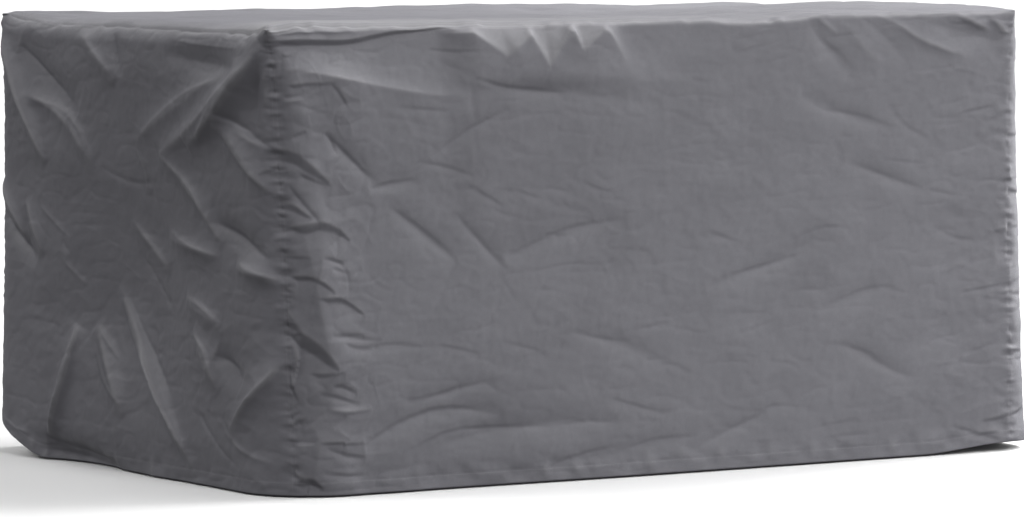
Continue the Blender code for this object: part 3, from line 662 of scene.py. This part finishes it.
def wall_shape(wall):
    """The wall's outer face: places, directions and heights for each row and column."""
    sides = places(wall.runs)
    falls = ROWS / DROP
    flat, outward = map(np.array, zip(*(wall_line(wall, fall, sides) for fall in falls)))
    side = np.broadcast_to(sides, flat.shape[:2]).copy()
    down = falls[:, None] * wall_drop(wall, sides)
    near_seam = np.minimum(side, wall.width - side)
    main = relief(wall.folds, wall.swells, side, down)
    main *= smooth(near_seam / SEAM_FADE) * smooth(down / TOP_FADE)
    fine = np.zeros_like(side)
    for crease in wall.creases:
        add_crease(fine, crease, side, down)
    crumple(fine, wall, side, down)
    fine *= smooth(near_seam / CREASE_FADE)
    calm = between(wall.calm, wall.low_calm, smooth((down - LOW_CALM_FROM) / LOW_CALM_OVER))
    calm = between(1.0, calm, smooth((near_seam - CALM_FROM) / CALM_OVER))
    main *= calm
    fine *= calm
    facets = np.zeros_like(side)
    if wall.flaps:
        hang, facets = slack(wall.flaps, side, down)
        fine += hang
    for tuck in wall.tucks:
        add_tuck(fine, tuck, side, down)
    add_seam_ticks(fine, wall, side, down)
    fine *= smooth(down / 0.006)
    height = main + fine
    # the stitched seams: a low welt each side of the seam line, uneven along it
    uneven = 1.0 + 0.7 * lattice_noise(wall.seed + 700, side, down, 1.0, 0.018)
    own = np.where(side < wall.width / 2.0, SEAM_WELTS[wall.corner],
                   SEAM_WELTS[(wall.corner + 1) % 4])
    height += own * uneven * hump(near_seam, STITCH_INSET, 0.0030)
    height -= own * hump(near_seam, 0.0, 0.0018)
    height += EDGE_WELTS[wall.corner] * hump(down, EDGE_WELT, EDGE_WELT_HALF) * smooth(
        near_seam / 0.01)
    # the hem: a band of doubled cloth under a puckered line of stitches
    below = np.broadcast_to(DROP * falls[:, None] - (DROP - HEM), side.shape)
    height += HEM_STEP * smooth((below + 0.001) / 0.002)
    gather = 1.0 + 0.9 * lattice_noise(wall.seed + 500, side, down * 0.0, 0.009, 1.0)
    height -= HEM_STEP * gather * hump(below, 0.0, 0.0024)
    height += 0.0016 * lattice_noise(wall.seed + 600, side, down, 0.026, 0.050) * smooth(
        1.0 - np.abs(below) / 0.03)
    # round the cloth over the top edge
    inset, reach = round_over(wall.corner, side, wall.width, down)
    wave = top_edge_wave(wall, side) * smooth(near_seam / 0.03) * smooth(1.0 - down / 0.02)
    level = EDGE_LEVEL + wall_rise(wall, sides) * (1.0 - falls[:, None]) - reach + wave
    point = np.dstack([flat + outward * (height - inset)[..., None], level])
    return Shape(sides, side, down, below, point, outward, height, facets)


SHAPES = [wall_shape(wall) for wall in WALLS]


def draw_in_seams():
    """Pull both walls of each corner in together where its seam is puckered."""
    ends = smooth(ROWS / 0.03)
    for index in range(4):
        before, after = SHAPES[index - 1], SHAPES[index]
        toward = before.outward[:, -1] + after.outward[:, 0]
        toward /= np.linalg.norm(toward, axis=1)[:, None]
        depth = (pucker_depth(PUCKERS[index], ROWS, 900 + index) - SEAM_EDGES[index]) * ends
        fine = 0.0013 * lattice_noise(950 + index, ROWS * 0.0, ROWS, 1.0, 0.0095)
        fine += 0.0006 * lattice_noise(960 + index, ROWS * 0.0, ROWS, 1.0, 0.0045)
        fine *= ends
        seam = (before.point[:, -1] + after.point[:, 0]) / 2.0
        for shape, edge in ((before, -1), (after, 0)):
            point = shape.point
            gap = np.abs(shape.sides - shape.sides[edge])
            broad = smooth(1.0 - gap / SEAM_REACH)[None, :, None]
            narrow = np.exp(-(gap / 0.009) ** 1.5)[None, :, None]
            shift = seam - point[:, edge]
            shift[:, :2] -= toward * depth[:, None]
            point += shift[:, None, :] * broad
            point[..., :2] -= (toward * fine[:, None])[:, None, :] * narrow


draw_in_seams()


def cloth_mesh(name, point, map_place, marks, turned_rows, turned_columns):
    """A mesh through rows and columns of points, with its flat cut as a UV map.

    The cloth turns sharply inwards at its turned rows and columns.
    """
    rows, columns = point.shape[:2]
    index = np.arange(rows * columns).reshape(rows, columns)
    corners = np.stack([index[:-1, :-1], index[1:, :-1], index[1:, 1:], index[:-1, 1:]], axis=-1)
    faces = corners.reshape(-1, 4)
    mesh = bpy.data.meshes.new(name)
    mesh.from_pydata(point.reshape(-1, 3), [], faces)
    ends = np.empty(len(mesh.edges) * 2, dtype=np.int32)
    mesh.edges.foreach_get("vertices", ends)
    row, column = np.divmod(ends.reshape(-1, 2), columns)
    turned = np.zeros(len(row), dtype=bool)
    for found, wanted in ((row, turned_rows), (column, turned_columns)):
        for number in wanted:
            turned |= (found == number).all(axis=1)
    mesh.attributes.new("sharp_edge", "BOOLEAN", "EDGE").data.foreach_set("value", turned)
    cut = map_place.reshape(-1, 2)[faces.reshape(-1)]
    mesh.uv_layers.new(name="cut").data.foreach_set("uv", cut.astype(np.float32).reshape(-1))
    for label, values in marks.items():
        mark = mesh.attributes.new(label, "FLOAT", "POINT")
        mark.data.foreach_set("value", values.reshape(-1).astype(np.float32))
    mesh.shade_smooth()
    mesh.validate()
    return mesh


def blurred(height, times=10):
    """The height, evened out over its neighbours."""
    for _ in range(times):
        padded = np.pad(height, 1, mode="edge")
        height = (padded[:-2, 1:-1] + padded[2:, 1:-1] + padded[1:-1, :-2]
                  + padded[1:-1, 2:]) / 4.0
    return height


def wall_piece(index, material):
    """One wall's cloth with its seam allowances and its turned hem."""
    wall = WALLS[index]
    sides, side, down, below, point, outward, height, facets = SHAPES[index]
    # painted highlight along the wall's top edge, where the rolled lip catches the light, and on the
    # slack's facets
    painted_highlight = between(*EDGE_HIGHLIGHT[index], smooth(side / wall.width)) * smooth(1.2 - down / 0.012)
    marks = {"ridge_wear_and_highlight": (height - blurred(height)) / RIDGE_SCALE,
             "painted_highlight": np.maximum(painted_highlight, SLACK_HIGHLIGHT * facets), "hem_gap": below,
             "seam_gap": np.minimum(side, wall.width - side), "top_gap": down}
    place = np.stack([side, down], axis=-1)
    # the hem, turned up inside: the row that each follows, radii in and down, cloth taken
    hem = [(-1, inward, low, HEM_TURN * (inward + low)) for inward, low in HEM_TURNS]
    hem += [(np.argmin(np.abs(DROP - ROWS - up)), 2.0, 0.0, HEM_TURN * 3.0 + up)
            for up in HEM_ROWS]
    turned = point[[source for source, *_ in hem]]
    for row, (source, inward, low, _) in zip(turned, hem):
        row[:, :2] -= outward[source] * HEM_TURN * inward
        row[:, 2] -= HEM_TURN * low
    # the seam allowance along the top edge, inwards and down
    in_down = np.column_stack([-outward[0], np.full(len(sides), -1.0)]) / math.sqrt(2)
    top = [point[0] + in_down * reach - [0.0, 0.0, SEAM_HALF_GAP * 2.0]
           for reach in (SEAM_INSIDE, SEAM_BEND)]
    point = np.concatenate([top, point, turned])
    place = np.concatenate([[place[0] - [0.0, SEAM_INSIDE], place[0] - [0.0, SEAM_BEND]], place,
                            [place[-1] + [0.0, taken] for *_, taken in hem]])
    # the seam allowances along the corners, inwards
    more = (2, len(hem))
    columns = []
    for edge, along, neighbour in ((0, 1, SHAPES[index - 1].outward[:, -1]),
                                   (-1, -2, SHAPES[(index + 1) % 4].outward[:, 0])):
        toward = np.pad(outward[:, edge] + neighbour, (more, (0, 0)), mode="edge")
        toward /= np.linalg.norm(toward, axis=1)[:, None]
        own_side = point[:, along] - point[:, edge]
        own_side[:, 2] = 0.0
        own_side /= np.linalg.norm(own_side, axis=1)[:, None]
        columns += [(point[:, edge] - np.pad(toward, ((0, 0), (0, 1))) * reach
                     + own_side * SEAM_HALF_GAP)[:, None] for reach in (SEAM_BEND, SEAM_INSIDE)]
    point = np.concatenate([columns[1], columns[0], point, *columns[2:]], axis=1)
    full, bend = [SEAM_INSIDE, 0.0], [SEAM_BEND, 0.0]
    place = np.concatenate([place[:, :1] - full, place[:, :1] - bend, place,
                            place[:, -1:] + bend, place[:, -1:] + full], axis=1)
    marks = {label: np.pad(values, (more, (2, 2)), mode="edge")
             for label, values in marks.items()}
    add_piece(wall.name, point, place, marks, (2,), (2, point.shape[1] - 3), material)


def add_piece(panel, point, place, marks, turned_rows, turned_columns, material):
    """Add the cloth piece that stands for a panel, attach it to the root and hide the panel."""
    name = panel.replace("_panel", "_cloth")
    mesh = cloth_mesh(name, point, place, marks, turned_rows, turned_columns)
    mesh.materials.append(material)
    piece = add_object(name, mesh)
    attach(piece, "root")
    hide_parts(panel)


def add_object(name, data):
    """A new object in the scene."""
    made = bpy.data.objects.new(name, data)
    bpy.context.scene.collection.objects.link(made)
    return made


def top_rise(side, back):
    """Height that the four seams give the top panel over EDGE_LEVEL."""
    front_left, front_right, back_right, back_left = [item.top_rise for item in CORNERS]
    along = side / LENGTH
    deep = back / DEPTH
    rise = between(between(front_left, front_right, along),
                   between(back_left, back_right, along), deep)
    rise = rise + dip_height(FRONT_DIPS, side) * (1.0 - deep) ** 2
    rise = rise + dip_height(RIGHT_END_DIPS, back) * along ** 2
    rise = rise + dip_height(BACK_DIPS, LENGTH - side) * deep ** 2
    return rise + dip_height(LEFT_END_DIPS, DEPTH - back) * (1.0 - along) ** 2


def top_places(length):
    """Columns or rows of the top panel, closer at its edges."""
    inner = np.linspace(0, length, round(length / TOP_PITCH) + 1)
    return np.unique(np.concatenate([inner, [0.003, 0.007, length - 0.007, length - 0.003]]))


def allowance(edge, inward):
    """An edge's seam allowance, inwards and down."""
    slope = SEAM_INSIDE / math.sqrt(2.0)
    return edge + np.array(inward) * slope + [0.0, 0.0, SEAM_HALF_GAP * 2.0 - slope]


def top_piece(material):
    """The top panel, its edges carried to the walls' edges."""
    side, back = np.meshgrid(top_places(LENGTH), top_places(DEPTH))
    # each wall: along it, its width, the gap to it, the way inwards and its own edge
    edges = (
        (side, LENGTH, back, (0.0, 1.0), np.s_[:1]),
        (back, DEPTH, LENGTH - side, (-1.0, 0.0), np.s_[:, -1:]),
        (LENGTH - side, LENGTH, DEPTH - back, (0.0, -1.0), np.s_[-1:]),
        (DEPTH - back, DEPTH, side, (1.0, 0.0), np.s_[:, :1]),
    )
    seam_gap = np.minimum(side, LENGTH - side)
    top_gap = np.minimum(back, DEPTH - back)
    fade = smooth(seam_gap / TOP_PANEL_FADE) * smooth(top_gap / TOP_PANEL_FADE)
    height = top_rise(side, back) + relief(TOP_FOLDS, TOP_SWELLS, side, back) * fade
    fine = 0.0016 * lattice_noise(71, side, back, 0.16, 0.10)
    fine += 0.0012 * lattice_noise(72, side, back, 0.06, 0.05)
    fine -= 0.0009 * np.exp(-3.0 * np.abs(lattice_noise(73, side + back, back, 0.08, 0.05)))
    near_edge = np.minimum(seam_gap, top_gap)
    fine *= smooth(near_edge / 0.02)
    fine += 0.0003 * hump(near_edge, EDGE_WELT, EDGE_WELT_HALF)
    height += fine
    # round over each edge
    point = np.dstack([side - LENGTH / 2.0, back - DEPTH / 2.0, EDGE_LEVEL + height])
    for index, (along, width, gap, inward, _) in enumerate(edges):
        drop, reach = round_over(index, along, width, gap)
        point[..., :2] += (reach - gap)[..., None] * inward
        point[..., 2] -= drop
    # meet each wall's top edge exactly, easing back over a few centimetres
    shift = np.zeros_like(point)
    total = np.zeros_like(side)
    for shape, (along, _, gap, _, edge) in zip(SHAPES, edges):
        wanted = np.dstack([np.interp(along[edge], shape.sides, shape.point[0, :, axis])
                            for axis in range(3)])
        weight = np.clip(1.0 - gap / TOP_MEETS, 0.0, 1.0) ** 4
        shift += (wanted - point[edge]) * weight[..., None]
        total += weight
    point += shift / np.maximum(total, 1.0)[..., None]
    # painted highlight over the top, lighter to the right and along the front edge, where the light falls
    along = smooth(side / LENGTH)
    painted_highlight = between(between(*TOP_HIGHLIGHT, along), between(*EDGE_HIGHLIGHT[0], along),
                   hump(back, 0.0, HIGHLIGHT_REACH))
    marks = {"ridge_wear_and_highlight": (height - blurred(height)) / RIDGE_SCALE, "painted_highlight": painted_highlight,
             "hem_gap": np.ones_like(side), "seam_gap": seam_gap, "top_gap": top_gap}
    marks = {label: np.pad(values, 1, mode="edge")[::-1] for label, values in marks.items()}
    # the seam allowance all round
    place = np.dstack([side, back])
    point = np.concatenate([allowance(point[:1], (0.0, 1.0, 0.0)), point,
                            allowance(point[-1:], (0.0, -1.0, 0.0))])
    place = np.concatenate([place[:1] - [0, SEAM_INSIDE], place, place[-1:] + [0, SEAM_INSIDE]])
    point = np.concatenate([allowance(point[:, :1], (1.0, 0.0, 0.0)), point,
                            allowance(point[:, -1:], (-1.0, 0.0, 0.0))], axis=1)
    place = np.concatenate([place[:, :1] - [SEAM_INSIDE, 0], place,
                            place[:, -1:] + [SEAM_INSIDE, 0]], axis=1)
    rows, columns = point.shape[:2]
    add_piece("top_panel", point[::-1], place[::-1], marks, (1, rows - 2), (1, columns - 2),
              material)


# ---- materials --------------------------------------------------------------------
DARK_TONE = (0.148, 0.146, 0.165, 1.0)
LIGHT_TONE = (0.177, 0.175, 0.196, 1.0)
# lighter tone on ridges, partly wear and partly a painted highlight
WEAR_AND_HIGHLIGHT_TONE = (0.235, 0.232, 0.246, 1.0)
# tone of the painted highlight on the slack's facets, the top and the top edges
PAINTED_HIGHLIGHT_TONE = (0.262, 0.259, 0.276, 1.0)
THREAD_TONE = (0.186, 0.184, 0.200, 1.0)
WEAVE_PITCH = 0.0011


def fill(tree, socket, value):
    """Set a socket, or link it where the value is a node's output."""
    if isinstance(value, bpy.types.NodeSocket):
        tree.links.new(value, socket)
    else:
        socket.default_value = value


def add_node(tree, kind, **values):
    """Outputs of a new shader node, its settings first and then its sockets filled."""
    made = tree.nodes.new("ShaderNode" + kind)
    for name, value in values.items():
        if hasattr(made, name):
            setattr(made, name, value)
        else:
            fill(tree, made.inputs[name.replace("_", " ")], value)
    return made.outputs


def worked_out(tree, operation, *terms):
    """The result of a sum on other nodes' outputs or numbers."""
    result = add_node(tree, "Math", operation=operation)["Value"]
    for socket, term in zip(result.node.inputs, terms):
        fill(tree, socket, term)
    return result


def tinted(tree, share, colour, tint):
    """A colour, turned to a tint by a share."""
    return add_node(tree, "Mix", data_type="RGBA", Factor=share, A=colour, B=tint)["Result"]


def noise(tree, place, scale, detail, roughness):
    """Even noise at the places given."""
    return add_node(tree, "TexNoise", Vector=place, Scale=scale, Detail=detail,
                    Roughness=roughness)["Fac"]


def mark(tree, name):
    """One of the cloth's own marks."""
    return add_node(tree, "Attribute", attribute_name=name)["Fac"]


def stitch_row(tree, gap_name, offset, along):
    """1 on the stitches of a row at an offset from the line that gap_name measures from."""
    line = worked_out(tree, "COMPARE", mark(tree, gap_name), offset, STITCH_WIDTH / 2.0)
    share = worked_out(tree, "FRACT", worked_out(tree, "DIVIDE", along, STITCH_PITCH))
    return worked_out(tree, "MULTIPLY", line, worked_out(tree, "COMPARE", share, 0.5, 0.36))


def new_material(name):
    """A new material, its node tree and its shader's sockets."""
    material = bpy.data.materials.new(name)
    material.use_nodes = True
    tree = material.node_tree
    return material, tree, tree.nodes["Principled BSDF"].inputs


def cloth_material(name):
    """Coated woven cloth: fine weave, crumple, uneven colour, ridges lightened partly by wear and partly
    as painted highlight, and painted highlight on the facets and top edges.
    """
    material, tree, shader = new_material(name)
    shader["Metallic"].default_value = 0.0
    shader["IOR"].default_value = 1.47
    spot = add_node(tree, "TexCoord")["Object"]
    cut = add_node(tree, "SeparateXYZ", Vector=add_node(tree, "UVMap", uv_map="cut")["UV"])
    # colour: broad and fine mottling, ridges lighter as part wear and part painted highlight, and painted
    # highlight on the slack's facets and the top edges
    broad = noise(tree, spot, 7.0, 4.0, 0.6)
    colour = add_node(tree, "ValToRGB", Fac=broad)["Color"]
    dark, light = colour.node.color_ramp.elements
    dark.position, dark.color = 0.30, DARK_TONE
    light.position, light.color = 0.72, LIGHT_TONE
    speck = add_node(tree, "MapRange", Value=noise(tree, spot, 420.0, 3.0, 0.7), To_Min=0.90,
                     To_Max=1.10)["Result"]
    colour = add_node(tree, "VectorMath", operation="SCALE", Vector=colour, Scale=speck)["Vector"]
    # ridges lighter: partly wear, partly a painted highlight
    wear_and_highlight = add_node(tree, "MapRange", Value=mark(tree, "ridge_wear_and_highlight"), From_Min=0.15, From_Max=1.2,
                    To_Min=0.0, To_Max=0.35)["Result"]
    colour = tinted(tree, wear_and_highlight, colour, WEAR_AND_HIGHLIGHT_TONE)
    # painted highlight: lighter where the facets and the top edges face the light
    colour = tinted(tree, mark(tree, "painted_highlight"), colour, PAINTED_HIGHLIGHT_TONE)
    stitched = stitch_row(tree, "hem_gap", HEM_STITCH_INSET, cut["X"])
    for gap_name, along in (("seam_gap", cut["Y"]), ("top_gap", cut["X"])):
        stitched = worked_out(tree, "MAXIMUM", stitched,
                              stitch_row(tree, gap_name, STITCH_INSET, along))
    fill(tree, shader["Base Color"], tinted(tree, stitched, colour, THREAD_TONE))
    shine = add_node(tree, "MapRange", Value=broad, To_Min=0.42, To_Max=0.58)["Result"]
    fill(tree, shader["Roughness"], shine)
    # relief: crumple, weave and stitches
    threads = [worked_out(tree, "SINE", worked_out(tree, "MULTIPLY", cut[axis],
                                                   2.0 * math.pi / WEAVE_PITCH))
               for axis in ("X", "Y")]
    relief_steps = ((noise(tree, spot, 38.0, 5.0, 0.62), 1.0, 0.0010),
                    (worked_out(tree, "MULTIPLY", *threads), 0.6, 0.00010),
                    (stitched, 0.5, 0.0003))
    bent = {}
    for height, strength, distance in relief_steps:
        bent = {"Normal": add_node(tree, "Bump", Strength=strength, Distance=distance,
                                   Height=height, **bent)["Normal"]}
    fill(tree, shader["Normal"], bent["Normal"])
    return material


CLOTH_LOOK = cloth_material("coated_cloth")
for number in range(4):
    wall_piece(number, CLOTH_LOOK)
top_piece(CLOTH_LOOK)


# ---- studio -----------------------------------------------------------------------
AZIMUTH = math.radians(-31.95)
ELEVATION = math.radians(4.43)
DISTANCE = 16.0
AIM = Vector((0.0, 0.0, -0.46))
IMAGE_WIDTH = 1024
IMAGE_HEIGHT = 522
FOCAL_PIXELS = 7696.0
CENTRE_X = 508.0
CENTRE_Y = 236.0
SUN_SPREAD = math.radians(25.0)
FLOOR_HALF = 45.0
FLOOR_LEVEL = EDGE_LEVEL - DROP - HEM_TURN - 0.004


def add_camera():
    """The photo's camera, found from the cover's edges."""
    back = Vector((math.sin(AZIMUTH) * math.cos(ELEVATION),
                   -math.cos(AZIMUTH) * math.cos(ELEVATION), math.sin(ELEVATION)))
    right = Vector((math.cos(AZIMUTH), math.sin(AZIMUTH), 0.0))
    up = back.cross(right)
    data = bpy.data.cameras.new("camera")
    data.sensor_width = 36.0
    data.lens = FOCAL_PIXELS / IMAGE_WIDTH * data.sensor_width
    data.shift_x = (IMAGE_WIDTH / 2.0 - CENTRE_X) / IMAGE_WIDTH
    data.shift_y = (CENTRE_Y - IMAGE_HEIGHT / 2.0) / IMAGE_WIDTH
    data.clip_start = 0.1
    data.clip_end = 300.0
    camera = add_object("camera", data)
    camera.matrix_world = (Matrix.Translation(back * DISTANCE + AIM)
                           @ Matrix((right, up, back)).transposed().to_4x4())
    bpy.context.scene.camera = camera


def add_light(name, kind, power, toward):
    """A lamp of a kind that shines from the direction toward."""
    data = bpy.data.lights.new(name, kind)
    data.energy = power
    lamp = add_object(name, data)
    lamp.rotation_euler = Vector(toward).to_track_quat("Z", "Y").to_euler()
    return lamp


def add_sun(name, toward, strength):
    """A soft distant light, its strength in pi."""
    add_light(name, "SUN", strength * math.pi, toward).data.angle = SUN_SPREAD


def add_panel_light(name, place, aim, power, size, mirrored=True):
    """A soft square light near the cover; its mirror image can be left out."""
    lamp = add_light(name, "AREA", power, Vector(place) - Vector(aim))
    lamp.data.size = size
    lamp.location = place
    lamp.visible_glossy = mirrored


def add_world(above, below):
    """A white sky, brighter above than below."""
    world = bpy.data.worlds.new("studio")
    bpy.context.scene.world = world
    world.use_nodes = True
    tree = world.node_tree
    view = add_node(tree, "TexCoord")["Generated"]
    up = add_node(tree, "SeparateXYZ", Vector=view)["Z"]
    ground = tree.nodes["Background"].inputs
    ground["Color"].default_value = (1.0, 1.0, 1.0, 1.0)
    fill(tree, ground["Strength"], add_node(tree, "MapRange", Value=up, From_Min=-0.3,
                                            From_Max=0.3, To_Min=below, To_Max=above)["Result"])


def add_floor():
    """A plain pale floor that doesn't tint the cloth."""
    mesh = bpy.data.meshes.new("studio_floor")
    corners = [(x * FLOOR_HALF, y * FLOOR_HALF, FLOOR_LEVEL)
               for x, y in ((-1, -1), (1, -1), (1, 1), (-1, 1))]
    mesh.from_pydata(corners, [], [(0, 1, 2, 3)])
    material, _, shader = new_material("studio_floor")
    shader["Base Color"].default_value = (0.86, 0.86, 0.86, 1.0)
    shader["Roughness"].default_value = 0.9
    mesh.materials.append(material)
    floor = add_object("studio_floor", mesh)
    floor.visible_diffuse = False
    floor.visible_glossy = False


add_camera()
add_floor()
add_world(0.30, 0.17)
add_sun("front_light", (0.0, -0.82, 0.57), 0.335)
add_sun("right_light", (0.837, -0.224, 0.50), 0.26)
add_sun("side_light", (0.643, 0.0, 0.766), 0.57)
add_sun("left_back_light", (-0.663, 0.383, 0.643), 0.29)
add_sun("back_light", (0.0, 0.77, 0.64), 0.19)
add_panel_light("side_panel", (2.7, 0.3, 1.15), (0.3, 0.0, 0.0), 92.0, 0.9, False)
add_panel_light("soft_panel", (2.6, -3.2, 1.2), (0.2, -0.5, -0.4), 24.0, 1.8)
add_panel_light("low_panel", (1.4, -2.4, -0.80), (0.6, -0.55, -0.45), 12.0, 1.6)
add_panel_light("strip_panel", (2.6, -0.45, -0.35), (0.92, -0.50, -0.45), 13.0, 0.7)
bpy.context.scene.view_settings.view_transform = "Standard"
